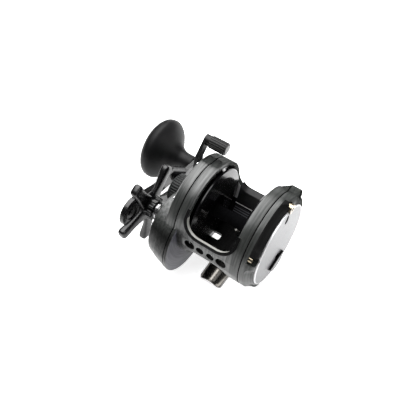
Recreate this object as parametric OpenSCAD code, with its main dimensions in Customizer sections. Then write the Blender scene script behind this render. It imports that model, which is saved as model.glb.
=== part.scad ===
// Star-drag trolling reel, right-hand retrieve.
// Spool axis along X, handle side +X, rod tip +Y, up +Z.
// Origin: centre of the rod where the reel foot sits on it.

/* [Reel body] */
// Outside radius of the frame rings and side plates
plate_r = 38; // [36:0.5:42]
// Half the width of the frame, seam to centre
frame_half = 27.5; // [26:0.5:30]
// Width of each frame ring along the spool axis
ring_w = 8; // [7:0.5:9]
// Bore radius of the frame rings
ring_bore_r = 34.6; // [34:0.1:35]
// Height of the spool axis above the rod centre
axis_height = 55.5; // [54:0.5:60]
// Radius of the rod seat that the foot clamps on
seat_r = 10.5; // [9.5:0.1:11]
// Length of the reel foot along the rod
foot_len = 66; // [60:1:72]

/* [Spool] */
// Radius of the spool flanges
flange_r = 33.2; // [32:0.1:33.6]
// Distance from the middle to the inner face of each flange
flange_x = 16.4; // [15:0.1:17]
// Thickness of each flange
flange_t = 2; // [1.6:0.1:2.2]
// Radius of the arbor that line is wound on
arbor_r = 5; // [4:0.1:8]
// Radius of the spool shaft
shaft_r = 2; // [1.8:0.1:2.2]

/* [Gear train] */
// Teeth on the drive gear
gear_teeth = 62; // [62:1:62]
// Teeth on the pinion
pinion_teeth = 12; // [12:1:12]
// Tooth module
tooth_module = 0.6; // [0.6:0.05:0.6]
// Angle of the drive shaft below the front horizontal
drive_angle = -26.565; // [-35:0.5:-20]
// Radius of the drive shaft
drive_r = 4; // [3.5:0.1:4.2]
// Travel of the pinion into free spool
clutch_travel = 2.4; // [2:0.1:2.4]

/* [Handle and star] */
// Distance from the drive shaft to the knob pin
crank_r = 60; // [55:1:65]
// Direction of the handle arm at rest
crank_angle = 191; // [180:1:200]
// Largest radius of the knob
knob_r = 26.5; // [22:0.5:28]
// Radius of the star wheel at its arm tips
star_r = 34; // [30:0.5:35]
// Number of star arms
star_arms = 5; // [4:1:6]
// Direction of the first star arm
star_angle = -3; // [-10:1:10]

/* [Free-spool lever] */
// Distance from the spool axis to the roller
lever_r = 48.5; // [47:0.5:50]
// Direction of the lever at rest
lever_angle = 117; // [100:1:130]
// Swing of the lever into free spool
lever_swing = 35; // [30:1:40]

/* [Hidden] */

$fn = 96;
FIT = 0.05;                 // running clearance on a radius
GAP = 0.1;                  // gap between faces that only sit close
GUNMETAL = "#6f7472";
BLACK = "#17181a";
STEEL = "#b9bbbd";
SILVER = "#d5d6d8";
BRASS = "#b5985a";
RUBBER = "#222223";

// Shaft distance and drive shaft place
centre_dist = tooth_module * (gear_teeth + pinion_teeth) / 2;
drive_y = centre_dist * cos(drive_angle);
drive_z = centre_dist * sin(drive_angle);
// Knob place
knob_y = drive_y + crank_r * cos(crank_angle);
knob_z = drive_z + crank_r * sin(crank_angle);
// Stations along the spool axis
ring_in = frame_half - ring_w;
bridge_x0 = 24.4;  bridge_x1 = frame_half - GAP;
gear_x0 = 28.8;    gear_x1 = 33.6;
plate_in = 33;     plate_out = 35.2;      // handle side plate, flat part
dome_r = 24;       dome_out = 37.6;       // its raised middle
boss_r = 12;       boss_out = 42.6;       // clutch boss on the spool axis
recess_r = 15.4;                          // room in the housing for the lever ring
groove_x0 = 34.9;  groove_x1 = 36.5;      // pinion groove
cam_x0 = 33.9;     cam_x1 = 34.7;
house_x0 = 24.6;   house_x1 = 45;         // gear housing
cap_x0 = 45.4;     cap_x1 = 53.6;         // tension cap
lever_x0 = 37.9;   lever_x1 = 40.1;
arm_x0 = 69.2;     arm_t = 3.6;           // handle arm at its hub
tail_r = 13.3;                            // centre of the arm's round tail
arm_drop = 8;                             // how far the arm steps in to the knob
knob_x = arm_x0 - arm_drop + arm_t + 0.3;
disc_x = -frame_half - 9.5;               // back of the palm face disc
palm_out = -frame_half - 10.9;            // its front
ear_at = 36.4;  ear_r = 6.3;  ear_angle = 140;

// Placing helpers
module on_axis() translate([0, 0, axis_height]) children();
module on_drive() translate([0, drive_y, axis_height + drive_z]) children();
module on_knob() translate([0, knob_y, axis_height + knob_z]) children();
// Cylinder or ring along X from x0 to x1
module rod_x(r, x0, x1) translate([x0, 0, 0]) rotate([0, 90, 0]) cylinder(r = r, h = x1 - x0);
module ring_x(r, bore, x0, x1) difference() {
    rod_x(r, x0, x1);
    rod_x(bore, x0 - 1, x1 + 1);
}
// Cone along X
module cone_x(r0, r1, x0, x1) translate([x0, 0, 0]) rotate([0, 90, 0]) cylinder(r1 = r0, r2 = r1, h = x1 - x0);
// Solid turned about X; points are [x, radius]
module turned_x(pts) rotate([0, 90, 0]) rotate_extrude() polygon([for (p = pts) [p[1], p[0]]]);
// Sector of a ring about X between two directions
module sector_x(r, bore, x0, x1, a0, a1) translate([x0, 0, 0]) rotate([a0, 0, 0]) multmatrix(
    [[0, 0, 1, 0], [1, 0, 0, 0], [0, 1, 0, 0], [0, 0, 0, 1]])
    rotate_extrude(angle = a1 - a0) translate([bore, 0]) square([r - bore, x1 - x0]);
// Move to a radius and direction about X
module polar(r, a) rotate([a, 0, 0]) translate([0, r, 0]) children();
// Same, but without turning the child
module at(r, a) translate([0, r * cos(a), r * sin(a)]) children();
// Plate along X with a round end at each of two places
module bar_x(y0, z0, r0, y1, z1, r1, x0, x1) hull() {
    translate([0, y0, z0]) rod_x(r0, x0, x1, $fn = 32);
    translate([0, y1, z1]) rod_x(r1, x0, x1, $fn = 32);
}
// Opening cut outwards at direction a: half width, half height, corner radius
module window(a, hx, hz, c) rotate([a, 0, 0]) rotate([-90, 0, 0]) linear_extrude(60) {
    square([2 * hx - 2 * c, 2 * hz], center = true);
    square([2 * hx, 2 * hz - 2 * c], center = true);
    for (sx = [-1, 1], sz = [-1, 1]) translate([sx * (hx - c), sz * (hz - c)]) circle(c);
}
// Socket-head screw along -X, head outwards at x
module cap_screw(x, head_r, head_h, shank_r, len) difference() {
    union() {
        rod_x(head_r, x, x + head_h);
        rod_x(shank_r, x + head_h, x + head_h + len);
    }
    rod_x(head_r * 0.5, x - 1, x + head_h * 0.6, $fn = 6);
}

// Same along +X: the head starts at x
module screw_out(x, head_r, head_h, shank_r, len) translate([2 * x, 0, 0]) mirror([1, 0, 0])
    cap_screw(x - head_h, head_r, head_h, shank_r, len);

// --- Involute gears ---
PRESSURE = 25;
BACKLASH = 0.07;
function inv(a) = tan(a) * 180 / PI - a;
function flank(n, r, thin) = let (rp = tooth_module * n / 2, rb = rp * cos(PRESSURE))
    90 / n - thin / rp * 90 / PI + inv(PRESSURE) - (r > rb ? inv(acos(rb / r)) : 0);
function gear_pts(n, tip, root) = [for (i = [0:n - 1]) for (k = [0:7])
    let (s = k < 4 ? -1 : 1, j = k < 4 ? k : 7 - k, r = root + (tip - root) * j / 3,
         a = 360 / n * i + s * flank(n, r, BACKLASH)) [r * cos(a), r * sin(a)]];
module gear_x(n, x0, x1, turn) translate([x0, 0, 0]) rotate([turn, 0, 0]) multmatrix(
    [[0, 0, 1, 0], [1, 0, 0, 0], [0, 1, 0, 0], [0, 0, 0, 1]]) linear_extrude(x1 - x0)
    polygon(gear_pts(n, tooth_module * (n / 2 + 0.9), tooth_module * (n / 2 - 1.2)));

// --- Frame ---
module frame() color(GUNMETAL) on_axis() difference() {
    union() {
        rod_x(plate_r, -frame_half, frame_half);
        front_lip();
        foot_pad();
        // Swelling that runs out to the ear of the palm plate
        at(ear_at, ear_angle) cone_x(ear_r, 1.6, -frame_half, -ring_in - 0.6);
    }
    frame_windows();
    top_recess();
    // Row of holes through the front bar
    for (s = [-1, 1]) {
        translate([s * 13.3, 0, 0]) rotate([4.9, 0, 0]) rotate([-90, 0, 0]) cylinder(r = 4.3, h = 50);
        translate([s * 4.4, 0, 0]) rotate([4.9, 0, 0]) rotate([-90, 0, 0]) cylinder(r = 3.2, h = 50);
    }
    // Screw holes under the foot pad
    for (s = [-1, 1]) translate([0, s * 9, -plate_r - 3]) cylinder(r = 1.55, h = 10);
    rod_x(ring_bore_r, -frame_half - 1, frame_half + 1);
}
// Shallow recess across the seam at the top of the handle ring
module top_recess() rotate([110, 0, 0]) translate([22, plate_r - 0.9, -5]) cube([11.6, 5, 10]);
module frame_windows() {
    // Open top between the front lip and the thumb rest
    sector_x(60, 20, -ring_in, ring_in, 42, 174);
    window(41, ring_in - 0.02, 13.6, 12);
    window(171, ring_in - 0.02, 15.5, 12);
    // Gap between the front bar and the foot bridge
    window(-33, ring_in - 0.4, 17.6, 12);
    // Gap between the thumb rest and the foot bridge
    window(239.5, 13, 3.4, 3.2);
    // See-through slots beside the foot
    for (s = [-1, 1]) translate([s * 14.8, 0, 0]) window(270.5, 3.6, 3.2, 1.4);
    window(249.5, 6, 1.2, 1.1);
}
module front_lip() intersection() {
    sector_x(plate_r + 0.9, plate_r - 1.5, -ring_in - 2, ring_in + 2, 5, 47);
    window(41, ring_in + 2.3, 15.9, 14.3);
}
module foot_pad() translate([-8, -14, -plate_r - 1.5]) cube([16, 28, 5]);

// Pad that wraps over the top edge of the rear bar
module thumb_rest() color(BLACK) on_axis() difference() {
    sector_x(plate_r + 0.9, ring_bore_r - 1, -15, 15, 180, 218);
    window(171, ring_in - 0.9, 14.6, 11.1);
    difference() {
        sector_x(plate_r + FIT, ring_bore_r - FIT, -16, 16, 175, 222);
        window(171, ring_in - 0.02 - FIT, 15.5 - FIT, 12 - FIT);
    }
}

// Inner plate that closes the gear side
module bridge_plate() color(BLACK) on_axis() difference() {
    rod_x(ring_bore_r - GAP, bridge_x0, bridge_x1);
    rod_x(5.02, bridge_x0 - 1, bridge_x1 + 1);
    translate([0, drive_y, drive_z]) rod_x(6.02, bridge_x0 + 0.8, bridge_x1 + 1);
    for (s = [-1, 1]) at(8, 63.435 + 90 * (1 - s)) rod_x(1.12, bridge_x0 - 1, bridge_x1 + 1);
    for (a = [110, 200, 290]) at(27.5, a) rod_x(1.6, bridge_x0 - 1, bridge_x1 + 1);
    // Recess that the spool flange turns beside
    rod_x(31, bridge_x0 - 1, bridge_x0 + 0.5);
}
module bridge_screws() color(STEEL) on_axis() for (a = [110, 200, 290]) at(27.5, a)
    cap_screw(bridge_x0 - 1.3, 2.6, 1.7, 1.5, 2.4);

// --- Palm side ---
module palm_side_plate() color(GUNMETAL) on_axis() difference() {
    union() {
        turned_x([[-frame_half - GAP, 0], [-frame_half - GAP, plate_r], [-frame_half - 7.4, plate_r],
            [-frame_half - 8.6, plate_r - 0.6], [disc_x - 0.2, plate_r - 2.6], [disc_x - 0.2, 0]]);
        // Ear at the upper rear
        at(ear_at, ear_angle) rod_x(ear_r, -frame_half - 7.2, -frame_half - GAP);
        at(ear_at, ear_angle) cone_x(ear_r - 1, ear_r, -frame_half - 8.2, -frame_half - 7.2);
    }
    // Hollow behind the face, round the bearing seat
    difference() {
        rod_x(29.2, disc_x + 1.9, -frame_half + 1);
        rod_x(6.6, disc_x + 1, -frame_half - 4.2);
    }
    rod_x(4.52, disc_x + 1.9, -frame_half);
    // Scooped bevel between the screw lobes
    for (g = [[50, 96], [174, 192], [229, 281], [320, 371]]) {
        sector_scoop(g[0], g[1]);
        for (a = g) polar(40.1, a) translate([disc_x - 1.2, 0, 0]) sphere(r = 6.6);
    }
    for (p = palm_screw_at) at(p[0], p[1]) {
        rod_x(3.9, disc_x - 3, -frame_half - 3.9);
        rod_x(1.55, disc_x - 3, -frame_half + 1);
    }
    at(33.6, 110) rod_x(4.2, disc_x - 3, -frame_half - 6.7);
    at(33.6, 110) rod_x(2, disc_x - 3, -frame_half + 1);
    clicker_slot(-frame_half);
    rod_x(32.6, disc_x - 1, disc_x);
}
// Part of a round groove about X between two directions
module sector_scoop(a0, a1) translate([disc_x - 1.2, 0, 0]) rotate([a0, 0, 0]) multmatrix(
    [[0, 0, 1, 0], [1, 0, 0, 0], [0, 1, 0, 0], [0, 0, 0, 1]])
    rotate_extrude(angle = a1 - a0) translate([40.1, 0]) circle(6.7);
// Radius and direction of the four palm screws
palm_screw_at = [[35.2, 30], [38.9, ear_angle], [35.2, 210], [35.2, 300]];
module clicker_slot(x1) translate([disc_x - 3, -2.5, -21.3]) cube([x1 - disc_x + 3, 5, 8.3]);

module palm_face_disc() color(SILVER) on_axis() difference() {
    union() {
        rod_x(32.4, palm_out + 0.5, disc_x - GAP);
        cone_x(31.9, 32.4, palm_out, palm_out + 0.5);
    }
    clicker_slot(-frame_half - 8);
    translate([0, -6.1, 24.8]) oval(2.6, 4.2, palm_out - 1, disc_x + 1);
    for (p = palm_screw_at) at(p[0], p[1]) rod_x(3.3, disc_x - 3, disc_x + 1);
    at(33.6, 110) rod_x(4.2, disc_x - 3, disc_x + 1);
}
// Upright oval along X
module oval(r, h, x0, x1) {
    for (s = [-1, 1]) translate([0, 0, s * (h - r)]) rod_x(r, x0, x1);
    translate([x0, -r, r - h]) cube([x1 - x0, 2 * r, 2 * (h - r)]);
}
module oval_plug() color(BLACK) on_axis() translate([0, -6.1, 24.8]) oval(2.5, 4.1, palm_out + 0.6, disc_x - GAP);
module palm_screws() color(BRASS) on_axis() for (p = palm_screw_at) at(p[0], p[1])
    cap_screw(-frame_half - 6.7, 2.5, 2.8, 1.45, 3.3);
module takedown_screw() color(STEEL) on_axis() at(33.6, 110) cap_screw(-frame_half - 11.5, 3.5, 4.8, 1.9, 6.1);
module palm_bearing() color(STEEL) on_axis() bearing(4.5, shaft_r, disc_x + 1.9 + FIT, disc_x + 5);
// Ball bearing: outer race, inner race and a dust shield between them
module bearing(r, bore, x0, x1) {
    ring_x(r, r - 0.9, x0, x1);
    ring_x(bore + 0.9, bore + FIT, x0, x1);
    ring_x(r - 0.95, bore + 0.95, x0 + 0.3, x1 - 0.3);
}

// Clicker: D-shaped button outside, stem through the slot, pawl inside
module clicker_button() color(BLACK) on_axis() {
    translate([0, 2.4, -17.2]) rotate([-7.8, 0, 0]) intersection() {
        cone_x(9.1, 9.6, palm_out - 2, palm_out - 0.2);
        translate([palm_out - 8, -12, -12]) cube([12, 24, 12]);
    }
    translate([palm_out - 0.8, -2.2, -21]) cube([14.8, 4.4, 3]);
}
module click_pawl() color(STEEL) on_axis() translate([-frame_half + 3.2, 0, 0]) {
    translate([0, -1.6, -21.6]) cube([2.2, 3.2, 4.6]);
    translate([0, 0, -17.2]) rotate([0, 90, 0]) linear_extrude(2.2)
        polygon([[0.6, -1.2], [0.6, 1.2], [-2.3, 0.3], [-2.3, -0.3]]);
}
click_teeth = 24;
module click_gear() color(BRASS) on_axis() difference() {
    translate([-frame_half + 3.2, 0, 0]) rotate([-90, 0, 0]) multmatrix(
        [[0, 0, 1, 0], [1, 0, 0, 0], [0, 1, 0, 0], [0, 0, 0, 1]]) linear_extrude(2.2)
        polygon([for (i = [0:2 * click_teeth - 1]) let (r = i % 2 == 0 ? 9.4 : 11, a = 180 / click_teeth * i)
            [r * cos(a), r * sin(a)]]);
    rod_x(arbor_r, -frame_half, -20);
}

// --- Spool ---
module spool() color(BLACK) on_axis() difference() {
    union() {
        rod_x(arbor_r, -21.6, 22.6);
        for (s = [-1, 1]) scale_x(s) turned_x([[flange_x, 0], [flange_x, 27], [flange_x + 0.4, flange_r - 0.6],
            [flange_x + 1, flange_r], [flange_x + flange_t, flange_r - 0.5], [flange_x + flange_t, 0]]);
        rod_x(arbor_r - FIT, -24.4, -21);
    }
    rod_x(shaft_r, -60, 60);
}
module scale_x(s) if (s > 0) children(); else mirror([1, 0, 0]) children();
module spool_shaft() color(STEEL) on_axis() difference() {
    rod_x(shaft_r, -frame_half - 6.4, 44.4);
    translate([29.2, 0, 0]) cylinder(r = 0.8, h = 20, center = true);
}
module spool_pin() color(STEEL) on_axis() translate([29.2, 0, 0]) cylinder(r = 0.8, h = 5.8, center = true);
module frame_bearing() color(STEEL) on_axis() bearing(5, shaft_r, bridge_x0 + 0.1, bridge_x0 + 2.4);
module cap_bearing() color(STEEL) on_axis() bearing(4.5, shaft_r, 41.6, 43.9);
module tension_cap() color(BLACK) on_axis() difference() {
    union() {
        rod_x(11.6, cap_x0, cap_x1 - 0.8);
        cone_x(11.6, 10.6, cap_x1 - 0.8, cap_x1);
        for (i = [0:35]) polar(11.4, 10 * i) rod_x(0.75, cap_x0 + 0.6, cap_x1 - 1.4, $fn = 16);
    }
    rod_x(7.05, cap_x0 - 1, cap_x1 - 2.2);
}
module tension_pad() color(BRASS) on_axis() rod_x(3, 44.6, cap_x1 - 2.2);

// --- Handle side ---
module housing_outline() {
    hull() {
        translate([0, 21.5, -15.5]) rod_x(30.2, house_x0, house_x0 + 0.6);
        translate([0, 21.5, -15.5]) rod_x(31, house_x0 + 0.8, house_x0 + 1.6);
        translate([0, 21.2, -13.5]) rod_x(28.9, 36, 36.5);
        translate([0, 21, -11.8]) rod_x(26.4, house_x1 - 1.4, house_x1 - 1);
        translate([0, 21, -11.6]) rod_x(25.2, house_x1 - 0.1, house_x1);
    }
}
module handle_side_plate() color(GUNMETAL) on_axis() difference() {
    union() {
        turned_x([[frame_half + GAP, 0], [frame_half + GAP, plate_r], [34.3, plate_r], [plate_out, plate_r - 0.9],
            [plate_out, dome_r + 0.6], [dome_out - 0.4, dome_r], [dome_out, dome_r - 0.5], [dome_out, 0]]);
        difference() {
            housing_outline();
            rod_x(recess_r, dome_out, 60);
        }
        rod_x(boss_r, 30, boss_out);
        rod_x(7, 30, 49);
    }
    top_recess();
    // Room beside the frame ring
    rod_x(plate_r + 0.05, house_x0 - 1, frame_half + GAP);
    plate_hollow();
    // Seat for the housing cover
    translate([0, 21, -11.7]) rod_x(22.5, house_x1 - 1.5, house_x1 + 1);
    // Clutch boss: yoke room, bearing seat, shaft way
    rod_x(10.4, 30, 41);
    rod_x(4.52, 30, 44);
    rod_x(3.1, 30, 60);
    // Way for the cam pin
    sector_x(20.6, 17.4, 34, 40, lever_angle - lever_swing - 6, lever_angle + 6);
    for (a = handle_screw_angles) at(34.8, a) {
        rod_x(1.55, frame_half - 1, 40);
        rod_x(2.4, plate_out - 1.6, 40);
    }
}
handle_screw_angles = [48, 98, 168, 230];
module plate_hollow() {
    rod_x(32, frame_half - 1, plate_in);
    rod_x(dome_r - 2, frame_half - 1, 35.4);
    translate([0, 20.6, -11.5]) rod_x(23.4, frame_half + GAP, 35.8);
    translate([0, drive_y, drive_z]) rod_x(10.2, 35, 38);
    translate([0, drive_y, drive_z]) rod_x(8.02, 38.4, 60);
    translate([0, drive_y, drive_z]) rod_x(5.4, 35, 40);
    // Lightened round the drive boss
    difference() {
        translate([0, 20.6, -11.5]) rod_x(22, 37.2, house_x1 + 1);
        rod_x(recess_r + 1.8, 30, 60);
        translate([0, drive_y, drive_z]) rod_x(10.4, 30, 60);
        for (a = cover_angles) translate([0, 21, -11.7]) at(19.6, a) rod_x(3, 30, 60);
    }
}
// Outer cover with the drive boss
module housing_cover() color(GUNMETAL) on_axis() difference() {
    union() {
        translate([0, 21, -11.7]) rod_x(22.4, house_x1 - 1.4, house_x1 + 0.9);
        translate([0, drive_y, drive_z]) rod_x(9.6, house_x1 - 1, 51.4);
        translate([0, drive_y, drive_z]) cone_x(9.6, 8.9, 51.4, 52);
    }
    translate([0, drive_y, drive_z]) rod_x(8.02, house_x1 - 4, 51);
    translate([0, drive_y, drive_z]) rod_x(5.5, 50, 54);
    rod_x(recess_r, 30, 50);
    for (a = cover_angles) translate([0, 21, -11.7]) at(19.6, a) rod_x(1.1, 40, 50);
}
cover_angles = [-75, -20, 40, 215];
module cover_screws() color(STEEL) on_axis() for (a = cover_angles) translate([0, 21, -11.7]) at(19.6, a)
    screw_out(house_x1 + 0.95, 2, 1.4, 1.05, 1.8);
module handle_plate_screws() color(STEEL) on_axis() for (a = handle_screw_angles) at(34.8, a)
    screw_out(plate_out - 1.55, 2.2, 1.9, 1.45, 5.4);

// --- Clutch ---
module pinion() color(BRASS) on_axis() difference() {
    union() {
        gear_x(pinion_teeth, 28.4, groove_x0, pinion_turn);
        rod_x(2.85, 28.4, 37.5);
        rod_x(4.1, groove_x1, 37.5);
    }
    rod_x(shaft_r + FIT, 20, 50);
    // Slot that takes the spool pin
    translate([27, -0.9, -6]) cube([3.1, 1.8, 12]);
}
// A gap of the pinion faces the drive gear
pinion_turn = drive_angle + 180 / pinion_teeth;
module pinion_yoke() color(STEEL) on_axis() rotate([63.435, 0, 0]) difference() {
    union() {
        translate([groove_x0 + 0.2, -9.7, -3.2]) cube([1.2, 19.4, 6.4]);
    }
    rod_x(2.95, 30, 40);
    translate([30, -2.95, -8]) cube([10, 5.9, 8]);
    for (s = [-1, 1]) translate([0, s * 8, 0]) rod_x(1.15, 30, 40);
}
module yoke_posts() color(STEEL) on_axis() for (s = [0, 180]) at(8, 63.435 + s) rod_x(1.1, bridge_x0 + 0.8, 40.9);
module yoke_springs() color(STEEL) on_axis() for (s = [0, 180]) at(8, 63.435 + s) ring_x(1.9, 1.3, groove_x0 + 1.6, 40.8);
// Cam ring that turns about the spool axis and jacks the yoke out
module clutch_cam() color(STEEL) on_axis() difference() {
    union() {
        rod_x(6.7, cam_x0, cam_x1);
        at(12.5, lever_angle) rotate([lever_angle, 0, 0]) translate([cam_x0 + 0.05, -7, -1.2])
            cube([cam_x1 - cam_x0 - 0.1, 13.5, 2.4]);
        at(19, lever_angle) rod_x(2.6, cam_x0, cam_x1);
        for (s = [0, 180]) cam_ramp(63.435 + s + 41);
    }
    rod_x(4.6, 30, 40);
    at(19, lever_angle) rod_x(1.5, 30, 40);
}
// Ramp that rises over the swing of the lever, with a land at its top
module cam_ramp(a) difference() {
    sector_x(6.5, 4.9, cam_x1 - 0.3, cam_x1 + clutch_travel, a + 4, a + lever_swing + 14);
    rotate([a + lever_swing / 2, 0, 0]) translate([cam_x1 + clutch_travel / 2, 5.8, 0])
        rotate([0, atan(clutch_travel / (5.8 * lever_swing * PI / 180)), 0]) translate([0, -5, -5]) cube(10);
}
module cam_pin() color(STEEL) on_axis() at(19, lever_angle) rod_x(1.5, cam_x0, lever_x1);
module freespool_lever() color(BLACK) on_axis() difference() {
    union() {
        rod_x(recess_r - 0.4, lever_x0, lever_x1);
        bar_x(12 * cos(lever_angle - 3), 12 * sin(lever_angle - 3), 5.6,
            37 * cos(lever_angle - 8), 37 * sin(lever_angle - 8), 4, lever_x0, lever_x1);
        bar_x(37 * cos(lever_angle - 8), 37 * sin(lever_angle - 8), 4,
            lever_r * cos(lever_angle), lever_r * sin(lever_angle), 4, lever_x0, lever_x1);
    }
    rod_x(boss_r + FIT, 30, 50);
    at(19, lever_angle) rod_x(1.5, 30, 50);
    at(lever_r, lever_angle) rod_x(1.3, 30, 50);
}
module lever_roller() color(RUBBER) on_axis() at(lever_r, lever_angle) difference() {
    union() {
        rod_x(4.1, 35.4, lever_x0 - FIT);
        rod_x(4.5, 22, 35.4);
        for (i = [0:17]) polar(4.4, 20 * i) rod_x(0.42, 22.4, 35, $fn = 16);
    }
    rod_x(1.32, 20, 40);
    rod_x(3.4, 20, 23.2);
}
module roller_screw() color(STEEL) on_axis() at(lever_r, lever_angle) {
    rod_x(1.28, 23.1, lever_x1 + 0.8);
    rod_x(3.36, 21.5, 23.1);
}

// --- Drive ---
module drive_shaft() color(STEEL) on_drive() {
    rod_x(drive_r, bridge_x0 + 0.9, arm_x0);
    translate([arm_x0, -2.8, -2.8]) cube([arm_t, 5.6, 5.6]);
    rod_x(2.8, arm_x0 + arm_t, arm_x0 + arm_t + 4);
}
module drive_bush() color(BRASS) on_drive() ring_x(6, drive_r + FIT, bridge_x0 + 0.9, bridge_x1);
module drive_gear() color(BRASS) on_drive() difference() {
    gear_x(gear_teeth, gear_x0, gear_x1, drive_angle + 180);
    rod_x(drive_r + FIT, 20, 40);
    rod_x(14.5, gear_x0 + 1.2, 40);
}
module drag_friction_washers() color(BLACK) on_drive() for (i = [0:2])
    ring_x(14.2, 4.3, gear_x0 + 1.25 + 1.3 * i, gear_x0 + 1.85 + 1.3 * i);
module drag_steel_washers() color(STEEL) on_drive() for (i = [0:2])
    ring_x(14.2, 4.1, gear_x0 + 1.9 + 1.3 * i, gear_x0 + 2.5 + 1.3 * i);
module pressure_plate() color(STEEL) on_drive() difference() {
    union() {
        rod_x(9.5, gear_x1 + 0.35, 35.4);
        rod_x(7, 35.4, 37.4);
    }
    rod_x(drive_r + FIT, 30, 40);
}
module one_way_clutch() color(STEEL) on_drive() ring_x(8, 7.1, 43.7, 50.9);
module clutch_rollers() color(STEEL) on_drive() for (i = [0:7]) at(6.05, 45 * i) rod_x(0.98, 44.2, 50.4, $fn = 32);
module drive_sleeve() color(STEEL) on_drive() ring_x(5, drive_r + FIT, 37.5, 54);
module spring_washers() color(STEEL) on_drive() for (i = [0:1])
    turned_ring(6.6, drive_r + 0.1, 54.05 + 1.1 * i);
// Cupped washer
module turned_ring(r, bore, x) difference() {
    turned_x([[x, bore], [x + 0.3, r], [x + 0.8, r], [x + 0.5, bore]]);
    rod_x(bore, x - 1, x + 2);
}
module star_wheel() color(BLACK) on_drive() difference() {
    union() {
        rod_x(8.2, 56.4, 66.6);
        for (i = [0:11]) polar(8.2, 30 * i) rod_x(0.9, 56.4, 60.5, $fn = 24);
        cone_x(9, 13, 60.5, 64);
        rod_x(13, 64, 65.6);
        for (i = [0:star_arms - 1]) star_arm(star_angle + 360 / star_arms * i);
    }
    rod_x(drive_r + FIT, 50, 70);
}
// Dished arm with a thick rounded tip
module star_arm(a) rotate([a, 0, 0]) hull() {
    translate([0, 8, 0]) rod_x(6.2, 62, 64.6, $fn = 32);
    translate([0, star_r - 4.6, 0]) rod_x(4.4, 63.4, 67.2, $fn = 32);
}
module handle_arm() color(BLACK) on_drive() rotate([crank_angle, 0, 0]) difference() {
    union() {
        // Heavy rounded tail that balances the knob
        hull() {
            translate([0, -tail_r, 0]) rod_x(12.3, arm_x0, arm_x0 + arm_t, $fn = 64);
            rod_x(9.5, arm_x0, arm_x0 + arm_t, $fn = 64);
        }
        hull() {
            rod_x(9.5, arm_x0, arm_x0 + arm_t, $fn = 64);
            translate([0, 16, 0]) rod_x(5.7, arm_x0, arm_x0 + arm_t, $fn = 32);
        }
        hull() {
            translate([0, 16, 0]) rod_x(5.7, arm_x0, arm_x0 + arm_t, $fn = 32);
            translate([0, 40.8, 0]) rod_x(6, arm_x0, arm_x0 + arm_t, $fn = 32);
        }
        hull() {
            translate([0, 40.8, 0]) rod_x(6, arm_x0, arm_x0 + arm_t, $fn = 32);
            translate([0, 46.9, 0]) rod_x(5.8, arm_x0 - arm_drop, arm_x0 - arm_drop + arm_t, $fn = 32);
        }
        hull() for (r = [46.9, crank_r]) translate([0, r, 0])
            rod_x(5.8, arm_x0 - arm_drop, arm_x0 - arm_drop + arm_t, $fn = 32);
    }
    rotate([-crank_angle, 0, 0]) translate([60, -2.82, -2.82]) cube([20, 5.64, 5.64]);
    translate([0, crank_r, 0]) rod_x(2.52, 50, 80);
    translate([0, 10.2, 0]) rod_x(1.25, 50, 80);
    translate([0, -tail_r - 1.5, 0]) ring_x(6, 3, arm_x0 - 1, arm_x0 + 0.8);
}
module handle_nut() color(STEEL) on_drive() difference() {
    union() {
        rod_x(7, arm_x0 + arm_t + FIT, arm_x0 + arm_t + 3.4, $fn = 6);
        cone_x(6, 4, arm_x0 + arm_t + 3.4, arm_x0 + arm_t + 4.8);
    }
    rod_x(2.85, 70, arm_x0 + arm_t + 4.1);
}
module nut_lock_screw() color(STEEL) on_drive() at(10.2, crank_angle)
    screw_out(arm_x0 + arm_t + 0.03, 2.4, 1.8, 1.2, 3.2);
module knob_pin() color(STEEL) on_knob() {
    rod_x(2.5, knob_x - 0.3 - arm_t, knob_x + 36);
    rod_x(4, knob_x - 0.25, knob_x - 0.05);
    rod_x(3.9, knob_x + 35.3, knob_x + 36.4);
}
module knob_bushes() color(BRASS) on_knob() for (x = [knob_x + 0.5, knob_x + 30]) ring_x(4.5, 2.55, x, x + 5);
// Mushroom power knob, open at its outer end for the cap
knob_profile = [[0, 6.4], [1.2, 7], [8, 7], [14, 8.4], [19, 12.4], [23, 19.5], [27, knob_r - 1.6],
    [32, knob_r], [35.5, knob_r - 1.3], [38.5, knob_r - 6], [40.4, 14], [41, 8]];
module knob() color(RUBBER) on_knob() difference() {
    translate([knob_x, 0, 0]) turned_x(concat([[0, 0]], knob_profile, [[41, 0]]));
    rod_x(4.52, knob_x - 1, knob_x + 38);
    rod_x(7.5, knob_x + 37, knob_x + 45);
}
module knob_cap() color(BLACK) on_knob() translate([knob_x, 0, 0])
    turned_x([[37.1, 0], [37.1, 7.4], [40.6, 7.4], [41.2, 5], [41.4, 0]]);

// --- Foot ---
// Saddle that sits on the rod seat, thinner towards both ends
module reel_foot() color(SILVER) difference() {
    union() {
        intersection() {
            union() {
                for (s = [-1, 1]) scale_y(s) rotate([-90, 0, 0]) {
                    cylinder(r = seat_r + 3, h = 13);
                    translate([0, 0, 13]) cylinder(r1 = seat_r + 3, r2 = seat_r + 1.2, h = foot_len / 2 - 13);
                }
            }
            foot_plan();
        }
        translate([-7.6, -13.5, 9]) cube([15.2, 27, axis_height - plate_r - 1.55 - 9]);
    }
    rotate([90, 0, 0]) cylinder(r = seat_r, h = 100, center = true);
    translate([-20, -50, -20]) cube([40, 100, 24]);
    for (s = [-1, 1]) translate([0, s * 9, 0]) {
        cylinder(r = 1.55, h = 30);
        cylinder(r = 2.9, h = seat_r + 2.2);
    }
}
module scale_y(s) if (s > 0) children(); else mirror([0, 1, 0]) children();
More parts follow.
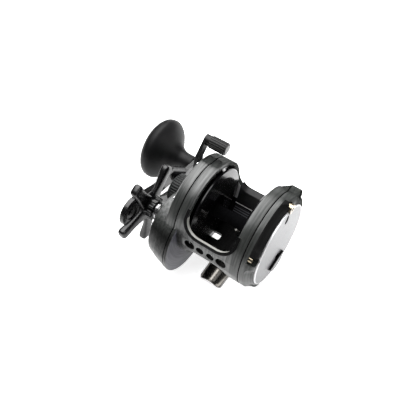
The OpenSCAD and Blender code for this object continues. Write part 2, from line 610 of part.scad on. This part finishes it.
// Foot seen from above: parallel sides, round-cornered tips
module foot_plan() linear_extrude(30) {
    square([19, foot_len - 8], center = true);
    square([11, foot_len], center = true);
    for (sx = [-1, 1], sy = [-1, 1]) translate([sx * 5.5, sy * (foot_len / 2 - 4)]) circle(4);
}
module foot_screws() color(STEEL) for (s = [-1, 1]) translate([0, s * 9, 0]) {
    translate([0, 0, seat_r + 0.3]) cylinder(r = 2.7, h = 1.8);
    translate([0, 0, seat_r + 2.1]) cylinder(r = 1.45, h = 5.6);
}

frame();
thumb_rest();
bridge_plate();
bridge_screws();
palm_side_plate();
palm_face_disc();
palm_screws();
takedown_screw();
oval_plug();
palm_bearing();
clicker_button();
click_pawl();
click_gear();
spool();
spool_shaft();
spool_pin();
frame_bearing();
cap_bearing();
tension_cap();
tension_pad();
handle_side_plate();
housing_cover();
handle_plate_screws();
cover_screws();
pinion();
pinion_yoke();
yoke_posts();
yoke_springs();
clutch_cam();
cam_pin();
freespool_lever();
lever_roller();
roller_screw();
drive_shaft();
drive_bush();
drive_gear();
drag_friction_washers();
drag_steel_washers();
pressure_plate();
one_way_clutch();
clutch_rollers();
drive_sleeve();
spring_washers();
star_wheel();
handle_arm();
handle_nut();
nut_lock_screw();
knob_pin();
knob_bushes();
knob();
knob_cap();
reel_foot();
foot_screws();
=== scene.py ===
import bpy
import bmesh
import math
from mathutils import Matrix, Vector


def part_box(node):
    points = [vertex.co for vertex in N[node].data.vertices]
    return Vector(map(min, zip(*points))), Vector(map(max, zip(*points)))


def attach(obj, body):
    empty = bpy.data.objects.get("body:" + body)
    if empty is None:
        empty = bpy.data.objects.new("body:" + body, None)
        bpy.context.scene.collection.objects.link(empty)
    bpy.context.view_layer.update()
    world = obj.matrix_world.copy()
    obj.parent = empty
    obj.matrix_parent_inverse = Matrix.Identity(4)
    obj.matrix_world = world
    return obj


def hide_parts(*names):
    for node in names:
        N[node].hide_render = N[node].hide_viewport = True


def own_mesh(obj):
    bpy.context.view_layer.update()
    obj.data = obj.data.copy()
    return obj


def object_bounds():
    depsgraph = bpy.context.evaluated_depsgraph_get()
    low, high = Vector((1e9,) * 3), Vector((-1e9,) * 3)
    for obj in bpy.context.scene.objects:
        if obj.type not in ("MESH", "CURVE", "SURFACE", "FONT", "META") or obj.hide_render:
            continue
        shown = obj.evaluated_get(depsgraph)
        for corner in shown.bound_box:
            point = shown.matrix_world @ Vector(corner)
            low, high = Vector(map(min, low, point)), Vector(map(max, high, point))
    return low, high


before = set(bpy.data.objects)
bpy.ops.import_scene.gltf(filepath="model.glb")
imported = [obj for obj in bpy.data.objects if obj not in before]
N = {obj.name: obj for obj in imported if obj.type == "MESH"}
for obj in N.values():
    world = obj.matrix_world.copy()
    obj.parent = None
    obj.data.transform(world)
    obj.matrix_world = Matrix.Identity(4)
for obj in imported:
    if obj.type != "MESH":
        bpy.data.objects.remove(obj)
cad_lo, cad_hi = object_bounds()
MM = 0.001
FAR = 200.0     # mm, past every surface: the open end of a range


def centre(node):
    lo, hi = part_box(node)
    return (lo + hi) / 2


SPOOL = centre("frame_bearing")
DRIVE = centre("drive_bush")
KNOB = centre("knob_cap")
ROLLER = centre("roller_screw")
AXIS = Vector((0.0, SPOOL.y, SPOOL.z))


# ---------------------------------------------------------------- materials
class Mat:
    """A node material with short helpers.

    polar() sets x, r and a, the place along and about an axis. For its zones, brushed() sets streak, how strongly
    the brushing shines from place to place. A zone may set dull, which is 1 where the surface is matt.
    """

    def __init__(self, name, colour, rough, metal=0.0, spec=0.5, coat=0.0):
        self.m = bpy.data.materials.new(name)
        self.m.use_nodes = True
        self.t = self.m.node_tree
        self.b = self.t.nodes["Principled BSDF"]
        s = self.b.inputs
        s["Base Color"].default_value = (*colour, 1)
        s["Roughness"].default_value = rough
        s["Metallic"].default_value = metal
        s["Specular IOR Level"].default_value = spec
        s["Coat Weight"].default_value = coat
        s["Coat Roughness"].default_value = 0.1
        self.dull = None

    def node(self, kind, **props):
        n = self.t.nodes.new(kind)
        for k, v in props.items():
            setattr(n, k, v)
        return n

    def link(self, a, b):
        self.t.links.new(a, b)

    def math(self, op, a, b=None, clamp=False):
        n = self.node("ShaderNodeMath", operation=op, use_clamp=clamp)
        for i, v in enumerate((a, b)):
            if v is None:
                continue
            if isinstance(v, (int, float)):
                n.inputs[i].default_value = v
            else:
                self.link(v, n.inputs[i])
        return n.outputs[0]

    def total(self, *terms):
        """Weighted sum of (value, weight) pairs."""
        out = None
        for value, weight in terms:
            part = self.math("MULTIPLY", value, weight)
            out = part if out is None else self.math("ADD", out, part)
        return out

    def position(self):
        return self.node("ShaderNodeTexCoord").outputs["Object"]

    def polar(self, at):
        """Sets x, radius and angle about the line parallel to X through at."""
        sep = self.node("ShaderNodeSeparateXYZ")
        self.link(self.position(), sep.inputs[0])
        y = self.math("SUBTRACT", sep.outputs[1], at.y)
        z = self.math("SUBTRACT", sep.outputs[2], at.z)
        self.x = sep.outputs[0]
        self.r = self.length(y, z)
        self.a = self.math("ARCTAN2", z, y)

    def length(self, u, v):
        return self.math("SQRT", self.math("ADD", self.math("MULTIPLY", u, u), self.math("MULTIPLY", v, v)))

    def noise(self, vec, scale, detail, rough, warp=0.0):
        n = self.node("ShaderNodeTexNoise")
        n.inputs["Scale"].default_value = scale
        n.inputs["Detail"].default_value = detail
        n.inputs["Roughness"].default_value = rough
        n.inputs["Distortion"].default_value = warp
        self.link(vec, n.inputs["Vector"])
        return n.outputs[0]

    def streaks(self, turn, scale, detail, rough):
        """Noise drawn out round the axis: the smaller turn is, the longer the streaks."""
        n = self.node("ShaderNodeCombineXYZ")
        for i, v in enumerate((self.x, self.r, self.math("MULTIPLY", self.a, turn))):
            self.link(v, n.inputs[i])
        return self.noise(n.outputs[0], scale, detail, rough)

    def ramp(self, fac, lo, hi, a, b):
        """a where fac is at or below lo, b where it is at or above hi."""
        n = self.node("ShaderNodeMapRange")
        n.inputs["From Min"].default_value = lo
        n.inputs["From Max"].default_value = hi
        n.inputs["To Min"].default_value = a
        n.inputs["To Max"].default_value = b
        self.link(fac, n.inputs["Value"])
        return n.outputs[0]

    def mix(self, fac, a, b):
        n = self.node("ShaderNodeMix", data_type="RGBA")
        self.link(fac, n.inputs["Factor"])
        for i, v in ((6, a), (7, b)):
            if isinstance(v, tuple):
                n.inputs[i].default_value = (*v, 1)
            else:
                self.link(v, n.inputs[i])
        return n.outputs[2]

    # Masks are 1 inside and 0 outside
    def within(self, v, lo, hi):
        return self.math("MULTIPLY", self.math("GREATER_THAN", v, lo), self.math("LESS_THAN", v, hi))

    def zone(self, x=None, r=None, a=None):
        """Mask of the given ranges: x and radius in mm, angle in degrees."""
        spans = ((self.x, x, MM), (self.r, r, MM), (self.a, a, math.radians(1)))
        return self.both(*[self.within(v, span[0] * unit, span[1] * unit) for v, span, unit in spans if span])

    def angle_ramp(self, lo, hi, a, b):
        """ramp() over the angle, with lo and hi in degrees."""
        return self.ramp(self.a, math.radians(lo), math.radians(hi), a, b)

    def both(self, *masks):
        out = masks[0]
        for k in masks[1:]:
            out = self.math("MULTIPLY", out, k)
        return out

    def either(self, *masks):
        out = masks[0]
        for k in masks[1:]:
            out = self.math("MAXIMUM", out, k)
        return out

    def fade(self, mask, level):
        """1 outside the mask, level inside it."""
        return self.ramp(mask, 0.0, 1.0, 1.0, level)

    def colour(self, out):
        self.link(out, self.b.inputs["Base Color"])

    def rough(self, out):
        self.link(out, self.b.inputs["Roughness"])

    def specular(self, out):
        self.link(out, self.b.inputs["Specular IOR Level"])

    def bump(self, height, strength, distance):
        n = self.node("ShaderNodeBump")
        n.inputs["Strength"].default_value = strength
        n.inputs["Distance"].default_value = distance
        self.link(height, n.inputs["Height"])
        self.link(n.outputs[0], self.b.inputs["Normal"])


def brushed(name, at, dark, light, rough=0.36, metal=0.0, spec=0.5, lines=1500.0, strength=0.1,
            zones=None, matt=None):
    """Turned or brushed metal: fine streaks run round the axis through at.

    zones changes the base colour by place. Inside the radius matt the surface doesn't shine.
    """
    m = Mat(name, light, rough, metal, spec)
    m.polar(at)
    fine = m.streaks(0.0009, lines, 3.0, 0.7)
    hair = m.streaks(0.0004, lines * 3, 2.0, 0.6)
    coarse = m.streaks(0.002, lines * 0.42, 2.0, 0.6)
    patch = m.noise(m.position(), 90.0, 4.0, 0.6, 0.4)
    tone = m.total((fine, 0.4), (coarse, 0.35), (patch, 0.25))
    base = m.mix(m.ramp(tone, 0.4, 0.62, 0.0, 1.0), dark, light)
    if zones is not None:
        m.streak = m.ramp(coarse, 0.36, 0.64, 0.62, 1.2)
        base = zones(m, base)
    m.colour(base)
    grain = m.ramp(m.total((fine, 0.5), (hair, 0.5)), 0.3, 0.7, rough - 0.08, rough + 0.1)
    if m.dull is not None:
        grain = m.math("ADD", grain, m.math("MULTIPLY", m.dull, 0.4), clamp=True)
    m.rough(grain)
    if matt is not None:
        m.specular(m.ramp(m.r, matt, matt + MM, 0.0, spec))
    m.bump(m.total((fine, 0.6), (hair, 0.4)), strength, 0.1 * MM)
    return m.m


def cast(name, colour, rough, grain, strength, spec=0.5, coat=0.0):
    """Moulded or powder-coated surface: fine grain, faint patches."""
    m = Mat(name, colour, rough, spec=spec, coat=coat)
    p = m.position()
    fine = m.noise(p, grain, 3.0, 0.55)
    patch = m.noise(p, 55.0, 4.0, 0.6, 0.3)
    vary = 0.25
    darker = tuple(c * (1 - vary) for c in colour)
    lighter = tuple(c * (1 + vary) for c in colour)
    m.colour(m.mix(m.ramp(patch, 0.35, 0.65, 0.0, 1.0), darker, lighter))
    m.rough(m.ramp(m.total((fine, 0.5), (patch, 0.5)), 0.3, 0.7, rough - 0.08, rough + 0.08))
    m.bump(fine, strength, 0.08 * MM)
    return m.m


def woven(name):
    """Carbon drag cloth."""
    m = Mat(name, (0.03, 0.03, 0.032), 0.5)
    threads = 5200.0    # radians per metre across the weave
    sep = m.node("ShaderNodeSeparateXYZ")
    m.link(m.position(), sep.inputs[0])
    across, along = (m.math("SINE", m.math("MULTIPLY", sep.outputs[i], threads)) for i in (1, 2))
    weave = m.math("MULTIPLY", across, along)
    m.colour(m.mix(m.ramp(weave, -0.6, 0.6, 0.0, 1.0), (0.015, 0.015, 0.016), (0.06, 0.06, 0.063)))
    m.bump(weave, 0.4, 0.1 * MM)
    return m.m


GUNMETAL = ((0.014, 0.0155, 0.0148), (0.04, 0.0425, 0.04))
GUNMETAL_SPEC = 0.62
STEEL = ((0.42, 0.42, 0.43), (0.6, 0.6, 0.61))
BLACK_DARK, BLACK_LIGHT = (0.003, 0.003, 0.0034), (0.004, 0.004, 0.0044)
# painted shade: colour of the dark band low in front of the handle ring and housing
PAINTED_SHADE_BAND = (0.006, 0.0063, 0.006)
BLACK_SEAM = (0.001, 0.001, 0.001)
# painted shade: near black for the frame's bead, interior and holes
PAINTED_SHADE_INNER = (0.003, 0.003, 0.003)
BLACK_SCOOP = (0.006, 0.006, 0.006)
# painted light and shade: dark and light stripes for the ribs' grooves and crests
RIB_PAINTED_SHADE, RIB_PAINTED_HIGHLIGHT = (0.008, 0.008, 0.009), (0.055, 0.056, 0.062)
BARE_WALL = (0.34, 0.34, 0.32)
# painted reflection: light colour on the bare bore at the back
BORE_PAINTED_REFLECTION = (0.42, 0.42, 0.43)
BARE_RIM = (0.6, 0.6, 0.61)
# painted highlight: light line on the thumb rest's lower edge
EDGE_PAINTED_HIGHLIGHT = (0.42, 0.42, 0.42)
PURPLE = (0.04, 0.04, 0.052)


# In the zones, x counts from the middle plane towards the handle, radii from the spool's axis, and angles from the
# front of the reel (+Y, the rod tip's side) upwards over the top
def tones(m, base):
    """Colour and shine shared by the gunmetal pieces: dull backs, a band of painted shade low in front, dark joints.
    """
    back = m.either(m.angle_ramp(112, 130, 0.0, 1.0), m.angle_ramp(-170, -135, 1.0, 0.0))
    handle_ring = m.zone(x=(19.6, FAR), r=(37.5, 38.7))
    housing = m.zone(x=(25.2, FAR), r=(38.7, FAR))
    # painted shade: a band low in front of the handle ring and housing is darkened
    low = m.both(m.angle_ramp(-19, -9, 0.0, 1.0), m.angle_ramp(8, 18, 1.0, 0.0),
                 m.either(handle_ring, housing))
    seam = m.within(m.math("ABSOLUTE", m.x), 27.18 * MM, 28.02 * MM)
    palm_side = m.ramp(m.x, -21 * MM, -19 * MM, 0.65, 1.0)
    level = m.both(m.streak, m.ramp(back, 0.0, 1.0, GUNMETAL_SPEC, GUNMETAL_SPEC * 0.2), palm_side,
                   m.fade(low, 0.3), m.fade(seam, 0.05))
    m.dull = m.either(back, seam)
    return m.mix(seam, m.mix(low, base, PAINTED_SHADE_BAND), BLACK_SEAM), level


def frame_zones(m, base):
    """Bare machined wall; painted reflection on the bare bore at the back; painted shade on the bead, interior and
    holes; ribs on the bar behind drawn as painted light and shade.
    """
    base, level = tones(m, base)
    bead = m.zone(r=(38.6, FAR), a=(0, 60))
    inner = m.zone(x=(-FAR, 19.6), r=(-FAR, 35.2))
    holes = m.zone(x=(-18.5, 18.5), r=(30, 37.8), a=(-5, 15))
    dull = m.either(bead, inner, holes)
    m.specular(m.math("MULTIPLY", level, m.fade(dull, 0.15)))
    m.dull = m.either(m.dull, dull)
    # painted shade: the bead, the interior and the holes are darkened to near black
    base = m.mix(dull, base, PAINTED_SHADE_INNER)
    # painted light and shade: stripes stand in for lit and shaded ribs on the bar behind
    ribs = m.zone(x=(-13, 14.5), r=(-FAR, 35.2), a=(-139.5, -125))
    comb = m.ramp(m.math("SINE", m.math("MULTIPLY", m.a, 115.0)), -0.3, 0.3, 0.0, 1.0)
    base = m.mix(ribs, base, m.mix(comb, RIB_PAINTED_SHADE, RIB_PAINTED_HIGHLIGHT))
    wall = m.zone(x=(-19.6, 19.6), r=(34.8, 37.93), a=(17.6, 38))
    # painted reflection: the bare bore is lightened only at the back, where it faces the bright surroundings
    rear = m.math("GREATER_THAN", m.math("ABSOLUTE", m.a), math.radians(148))
    bore = m.both(m.zone(x=(12.5, FAR), r=(-FAR, 34.75)), rear)
    return m.mix(bore, m.mix(wall, base, BARE_WALL), BORE_PAINTED_REFLECTION)


def palm_zones(m, base):
    """The upper scooped bevels are near black."""
    base, level = tones(m, base)
    groove = m.length(m.math("SUBTRACT", m.r, 40.1 * MM), m.math("SUBTRACT", m.x, -38.2 * MM))
    scoop = m.both(m.math("LESS_THAN", groove, 6.79 * MM), m.zone(a=(30, 110)))
    m.specular(m.math("MULTIPLY", level, m.fade(scoop, 0.2)))
    m.dull = m.either(m.dull, scoop)
    return m.mix(scoop, base, BLACK_SCOOP)


def disc_zones(m, base):
    """Bright bevelled rim."""
    return m.mix(m.zone(r=(31.6, FAR)), base, BARE_RIM)


def rest_zones(m, base):
    """Painted highlight: a light line along the lower edge of the thumb rest."""
    m.specular(m.ramp(m.r, 38 * MM, 38.5 * MM, 0.2, 0.04))
    # painted highlight: a thin light line along the lower edge
    return m.mix(m.zone(a=(-143.6, -141)), base, EDGE_PAINTED_HIGHLIGHT)


def plate_zones(m, base):
    """Purple-grey inner face."""
    base, level = tones(m, base)
    m.specular(level)
    inner_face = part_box("handle_side_plate")[0].x + 0.35 * MM
    return m.mix(m.math("LESS_THAN", m.x, inner_face), base, PURPLE)


M = {
    "frame": brushed("gunmetal_frame", AXIS, *GUNMETAL, spec=GUNMETAL_SPEC, zones=frame_zones),
    "palm": brushed("gunmetal_palm", AXIS, *GUNMETAL, spec=GUNMETAL_SPEC, zones=palm_zones),
    "plate": brushed("gunmetal_plate", AXIS, *GUNMETAL, spec=GUNMETAL_SPEC, zones=plate_zones),
    "cover": brushed("gunmetal_cover", DRIVE, *GUNMETAL, spec=GUNMETAL_SPEC),
    "silver": brushed("silver_disc", AXIS, (0.145, 0.145, 0.15), (0.168, 0.168, 0.174), metal=0.5, lines=2400.0,
                      strength=0.06, zones=disc_zones),
    "steel": brushed("steel", AXIS, *STEEL, rough=0.25, metal=1.0),
    "steel_drive": brushed("steel_drive", DRIVE, *STEEL, rough=0.25, metal=1.0),
    "golden": brushed("golden_steel", AXIS, (0.24, 0.2, 0.14), (0.38, 0.33, 0.25), rough=0.26, metal=1.0),
    "brass": brushed("brass", DRIVE, (0.5, 0.36, 0.14), (0.68, 0.52, 0.24), rough=0.28, metal=1.0),
    "chrome": brushed("dark_chrome", Vector((0, 0, 0)), (0.085, 0.08, 0.074), (0.115, 0.109, 0.1), rough=0.2,
                      metal=1.0, lines=900.0, strength=0.02),
    "spool": brushed("black_spool", AXIS, (0.0025, 0.0025, 0.0028), BLACK_LIGHT, rough=0.16, spec=0.4,
                     lines=1200.0, strength=0.02, matt=12 * MM),
    "rest": brushed("black_rest", AXIS, BLACK_DARK, BLACK_LIGHT, rough=0.45, spec=0.2, lines=900.0,
                    strength=0.03, zones=rest_zones),
    "end": brushed("roller_end", ROLLER, (0.1, 0.1, 0.1), (0.17, 0.17, 0.165), rough=0.4, metal=0.3),
    "gloss": cast("black_gloss", BLACK_DARK, 0.12, 1600.0, 0.02, coat=0.5),
    "dull": cast("black_dull", BLACK_LIGHT, 0.42, 1300.0, 0.14, spec=0.2),
    "star": cast("black_star", (0.003, 0.003, 0.0033), 0.25, 1500.0, 0.08, spec=0.36),
    "plastic": cast("black_plastic", (0.004, 0.004, 0.0042), 0.26, 1500.0, 0.06, spec=0.35),
    "rubber": cast("rubber", (0.004, 0.004, 0.0043), 0.5, 1000.0, 0.22, spec=0.16),
    "roller": cast("roller_rubber", (0.006, 0.0058, 0.0056), 0.42, 1400.0, 0.25, spec=0.22),
    "nylon": cast("nylon", (0.7, 0.69, 0.65), 0.5, 900.0, 0.1),
    "cap": cast("knurled_black", (0.004, 0.0052, 0.005), 0.36, 1200.0, 0.12, spec=0.2),
    "carbon": woven("carbon_cloth"),
}
USES = {
    "frame": ("frame",),
    "palm": ("palm_side_plate",),
    "plate": ("handle_side_plate",),
    "cover": ("housing_cover",),
    "silver": ("palm_face_disc",),
    "golden": ("palm_screws", "takedown_screw"),
    "chrome": ("reel_foot",),
    "spool": ("spool",),
    "rest": ("thumb_rest",),
    "gloss": ("bridge_plate",),
    "dull": ("freespool_lever",),
    "star": ("star_wheel", "handle_arm"),
    "plastic": ("oval_plug", "clicker_button", "knob_cap"),
    "rubber": ("knob",),
    "roller": ("lever_roller",),
    "end": ("roller_screw",),
    "cap": ("tension_cap",),
    "nylon": ("tension_pad",),
    "carbon": ("drag_friction_washers",),
    "brass": ("click_gear", "pinion", "drive_bush", "drive_gear", "knob_bushes"),
    "steel": ("bridge_screws", "palm_bearing", "click_pawl", "spool_shaft", "spool_pin", "frame_bearing",
              "cap_bearing", "handle_plate_screws", "cover_screws", "pinion_yoke", "yoke_posts", "yoke_springs",
              "clutch_cam", "cam_pin", "foot_screws"),
    "steel_drive": ("drive_shaft", "drag_steel_washers", "pressure_plate", "one_way_clutch", "clutch_rollers",
                    "drive_sleeve", "spring_washers", "handle_nut", "nut_lock_screw", "knob_pin"),
}
for use, nodes in USES.items():
    for node in nodes:
        data = N[node].data
        data.materials.clear()
        data.materials.append(M[use])


# ------------------------------------------------- edges of the CAD nodes
SHARP = math.radians(38)


def soften(node, width):
    """Rounds a CAD node's edges with modifiers, leaving its own mesh alone."""
    o = N[node]
    w = o.modifiers.new("weld", "WELD")
    w.merge_threshold = 0.002 * MM
    b = o.modifiers.new("bevel", "BEVEL")
    b.width = width
    b.segments = 2
    b.limit_method = "ANGLE"
    b.angle_limit = SHARP
    b.harden_normals = False
    b.use_clamp_overlap = True
    e = o.modifiers.new("split", "EDGE_SPLIT")
    e.split_angle = SHARP
    e.use_edge_sharp = False


# ---------------------------------------------------------------- studio
def place(name, data, x, y, z, at):
    """Adds a light or camera with the given axes; it looks along -z."""
    o = bpy.data.objects.new(name, data)
    o.matrix_world = Matrix(((x.x, y.x, z.x, at.x), (x.y, y.y, z.y, at.y), (x.z, y.z, z.z, at.z), (0, 0, 0, 1)))
    bpy.context.scene.collection.objects.link(o)
    return o


def sky():
    """A dark horizon under a soft bright sky lights the reel; the camera itself sees plain white."""
    sc = bpy.context.scene
    sc.view_settings.view_transform = "Standard"
    sc.view_settings.look = "None"
    world = bpy.data.worlds.new("studio")
    sc.world = world
    world.use_nodes = True
    t = world.node_tree
    bg = t.nodes["Background"]
    bg.inputs["Color"].default_value = (1, 1, 1, 1)
    sep = t.nodes.new("ShaderNodeSeparateXYZ")
    t.links.new(t.nodes.new("ShaderNodeTexCoord").outputs["Generated"], sep.inputs[0])
    ramp = t.nodes.new("ShaderNodeMapRange")
    for k, v in (("From Min", -0.2), ("From Max", 0.9), ("To Min", 0.02), ("To Max", 0.07)):
        ramp.inputs[k].default_value = v
    t.links.new(sep.outputs[2], ramp.inputs["Value"])
    seen = t.nodes.new("ShaderNodeMix")
    seen.inputs[3].default_value = 1.0
    t.links.new(t.nodes.new("ShaderNodeLightPath").outputs["Is Camera Ray"], seen.inputs["Factor"])
    t.links.new(ramp.outputs[0], seen.inputs[2])
    t.links.new(seen.outputs[0], bg.inputs["Strength"])


def ground():
    """Round pale floor just under the foot; its own glow keeps it near white."""
    mesh = bpy.data.meshes.new("floor")
    z, rim, corners = cad_lo.z - 0.2 * MM, 0.5, 96
    turn = [2 * math.pi * i / corners for i in range(corners)]
    mesh.from_pydata([(rim * math.cos(a), rim * math.sin(a), z) for a in turn], [], [tuple(range(corners))])
    floor = bpy.data.objects.new("floor", mesh)
    bpy.context.scene.collection.objects.link(floor)
    m = Mat("floor", (0.93, 0.93, 0.93), 0.9, spec=0.1)
    cloud = m.noise(m.position(), 3.0, 2.0, 0.5)
    m.colour(m.mix(m.ramp(cloud, 0.3, 0.7, 0.0, 1.0), (0.92, 0.92, 0.92), (0.94, 0.94, 0.94)))
    m.b.inputs["Emission Color"].default_value = (1, 1, 1, 1)
    m.b.inputs["Emission Strength"].default_value = 0.8
    mesh.materials.append(m.m)


def area(name, at, size, power):
    """Rectangular light aimed at the spool.

    The first side of size lies along X. Where the light shines mostly along X, the second lies along Y instead.
    """
    light = bpy.data.lights.new(name, "AREA")
    light.shape = "RECTANGLE"
    light.size, light.size_y = size
    light.energy = power
    z = (Vector(at) - AXIS).normalized()
    if abs(z.x) < 0.7:
        x = (Vector((1, 0, 0)) - z.x * z).normalized()
    else:
        x = Vector((0, 1, 0)).cross(z).normalized()
    place(name, light, x, z.cross(x), z, Vector(at))


def camera():
    """Looks from the rod-tip side, over the palm plate."""
    turn, lift, distance = math.radians(34.47), math.radians(55.35), 0.4303
    aim_x, shift_right, shift_up = 0.00864, -0.01195, 0.0046
    back = Vector((-math.sin(turn) * math.cos(lift), math.cos(turn) * math.cos(lift), math.sin(lift)))
    right = (-back).cross(Vector((0, 0, 1))).normalized()
    up = right.cross(-back)
    aim = AXIS + Vector((aim_x, 0, 0))
    data = bpy.data.cameras.new("camera")
    data.sensor_width = 36.0
    data.lens = 50.17
    data.clip_start = 0.01
    spot = aim + distance * back + shift_right * right + shift_up * up
    bpy.context.scene.camera = place("camera", data, right, up, back, spot)


# ---------------------------------------------------------------- details
def add(name, verts, faces, use, body, stands_for):
    mesh = bpy.data.meshes.new(name)
    mesh.from_pydata([tuple(v) for v in verts], [], faces)
    bm = bmesh.new()
    bm.from_mesh(mesh)
    bmesh.ops.remove_doubles(bm, verts=bm.verts, dist=1e-7)
    bmesh.ops.recalc_face_normals(bm, faces=bm.faces)
    bm.to_mesh(mesh)
    bm.free()
    for f in mesh.polygons:
        f.use_smooth = True
    mesh.materials.append(M[use])
    o = bpy.data.objects.new(name, mesh)
    bpy.context.scene.collection.objects.link(o)
    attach(o, body)
    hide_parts(*stands_for)
    return o


def curve(points, steps):
    """Smooth run through the points (Catmull-Rom), with steps pieces between each two."""
    out = []
    n = len(points)
    for i in range(n - 1):
        p0, p1, p2, p3 = (points[max(i - 1, 0)], points[i], points[i + 1], points[min(i + 2, n - 1)])
        for k in range(steps):
            t = k / steps
            out.append([0.5 * (2 * b + (c - a) * t + (2 * a - 5 * b + 4 * c - d) * t * t
                               + (3 * b - a - 3 * c + d) * t ** 3)
                        for a, b, c, d in zip(p0, p1, p2, p3)])
    out.append(list(points[-1]))
    return out


def lathe(profile, at, count, ripple=None):
    """Closed shape turned about the line parallel to X through at; profile holds (x, radius) in mm."""
    verts, faces = [], []
    n = len(profile)
    for j in range(count):
        a = 2 * math.pi * j / count
        for i, (x, r) in enumerate(profile):
            rr = r + (ripple(i, a) if ripple else 0.0)
            verts.append(Vector((x * MM, at.y + rr * MM * math.cos(a), at.z + rr * MM * math.sin(a))))
    for j in range(count):
        k = (j + 1) % count
        for i in range(n):
            i2 = (i + 1) % n
            faces.append((j * n + i, j * n + i2, k * n + i2, k * n + i))
    return verts, faces


def tube(start, rows, ring):
    """Faces of a closed tube whose points begin at start: rows of ring points each, and a cap at both ends."""
    faces = []
    for i in range(rows - 1):
        for j in range(ring):
            j2 = (j + 1) % ring
            faces.append((start + i * ring + j, start + i * ring + j2, start + (i + 1) * ring + j2,
                          start + (i + 1) * ring + j))
    faces.append(tuple(start + j for j in range(ring)))
    faces.append(tuple(start + (rows - 1) * ring + j for j in reversed(range(ring))))
    return faces


def knob():
    """Rubber grip: slim neck, broad rounded head, and a recess for the cap."""
    lo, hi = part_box("knob")
    x0, wide = lo.x / MM, (hi.z - lo.z) / 2 / MM
    outside = [(0.0, 6.3), (0.7, 6.9), (4, 7.0), (8.5, 7.1), (13, 8.3), (17.5, 12.0), (21.2, 17.8), (24.8, 22.8),
               (28.6, wide - 0.6), (31.6, wide), (35.4, wide - 1.0), (38.6, wide - 4.7), (40.4, 16.4), (41, 11.0),
               (41, 8.4)]
    inside = [(40.8, 7.9), (40.2, 7.55), (37.05, 7.52), (37.0, 4.53), (0.3, 4.53), (0.0, 4.9)]
    v, f = lathe([(x0 + x, r) for x, r in curve(outside, 6) + inside], KNOB, 128)
    add("knob_grip", v, f, "rubber", "knob", ("knob",))


def star():
    """Cast star: splined hub and five arms that thicken into rounded tips."""
    lo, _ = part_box("star_wheel")
    x0 = lo.x / MM
    hub = [(0, 5.2), (0, 8.0), (0.4, 8.5), (4.0, 8.5), (4.6, 9.4), (6.6, 12.0), (7.6, 13.0), (8.4, 13.2), (9.0, 12.7),
           (9.4, 11.8), (9.5, 9.0), (10.2, 8.2), (10.2, 5.2), (9.9, 4.06), (0.3, 4.06)]

    def spline(i, a):
        """Twelve ridges on the neck of the hub."""
        return 0.75 * max(0.0, math.cos(12 * a)) ** 0.6 if 1 <= i <= 3 else 0.0

    verts, faces = lathe([(x0 + x, r) for x, r in hub], DRIVE, 240, spline)
    # Each arm in mm: distance from the axis, width, x of its middle, thickness
    arm = curve([(6, 13.0, 63.4, 3.4), (12, 11.4, 63.6, 3.6), (18, 9.8, 64.1, 4.2), (24, 9.2, 64.7, 5.3),
                 (29, 9.6, 65.0, 6.2), (32, 9.0, 65.1, 6.3), (33.5, 6.8, 65.1, 5.0), (34.0, 3.0, 65.1, 2.4)], 5)
    ring, arms, first = 28, 5, -3
    for k in range(arms):
        turn = math.radians(first + 360 / arms * k)
        start = len(verts)
        for reach, width, middle, thick in arm:
            lean = 0.0016 * (reach - 6) ** 2
            for i in range(ring):
                a = 2 * math.pi * i / ring
                c, s = math.cos(a), math.sin(a)
                side = width / 2 * math.copysign(abs(c) ** 0.5, c) + lean
                x = middle + thick / 2 * math.copysign(abs(s) ** 0.5, s)
                verts.append(Vector((x * MM, DRIVE.y + (reach * math.cos(turn) - side * math.sin(turn)) * MM,
                                     DRIVE.z + (reach * math.sin(turn) + side * math.cos(turn)) * MM)))
        faces += tube(start, len(arm), ring)
    o = add("star_casting", verts, faces, "star", "star", ("star_wheel",))
    e = o.modifiers.new("split", "EDGE_SPLIT")
    e.split_angle = math.radians(42)


def springs():
    """Two coil springs that push the yoke in."""
    lo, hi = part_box("yoke_springs")
    verts, faces = [], []
    post_r, post_angle, gap = 8, 63.435, 0.3
    turns, per, ring, wire, coil = 4.5, 20, 8, 0.28, 1.6
    x0, x1 = lo.x / MM + gap, hi.x / MM - gap
    n = int(turns * per)
    for opposite in (0, 180):
        at = math.radians(post_angle + opposite)
        cy, cz = AXIS.y / MM + post_r * math.cos(at), AXIS.z / MM + post_r * math.sin(at)
        start = len(verts)
        for i in range(n + 1):
            t = i / n
            a = 2 * math.pi * turns * t
            mid = Vector((x0 + (x1 - x0) * t, cy + coil * math.cos(a), cz + coil * math.sin(a)))
            out = Vector((0, math.cos(a), math.sin(a)))
            for j in range(ring):
                b = 2 * math.pi * j / ring
                verts.append((mid + wire * (math.cos(b) * out + math.sin(b) * Vector((1, 0, 0)))) * MM)
        faces += tube(start, n + 1, ring)
    o = add("coil_springs", verts, faces, "steel", "reel_body", ("yoke_springs",))
    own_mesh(o)


knob()
star()
springs()
for node in ("frame", "palm_side_plate", "handle_side_plate", "housing_cover"):
    soften(node, 0.35 * MM)
for node in ("palm_face_disc", "clicker_button", "tension_cap", "freespool_lever", "handle_arm",
             "reel_foot", "thumb_rest", "knob_cap", "handle_nut", "bridge_plate"):
    soften(node, 0.3 * MM)
sky()
ground()
area("key", (0.3, -0.26, 0.86), (0.7, 1.35), 25.0)
area("fill", (-0.75, -0.1, 0.4), (0.5, 0.5), 3.5)
camera()
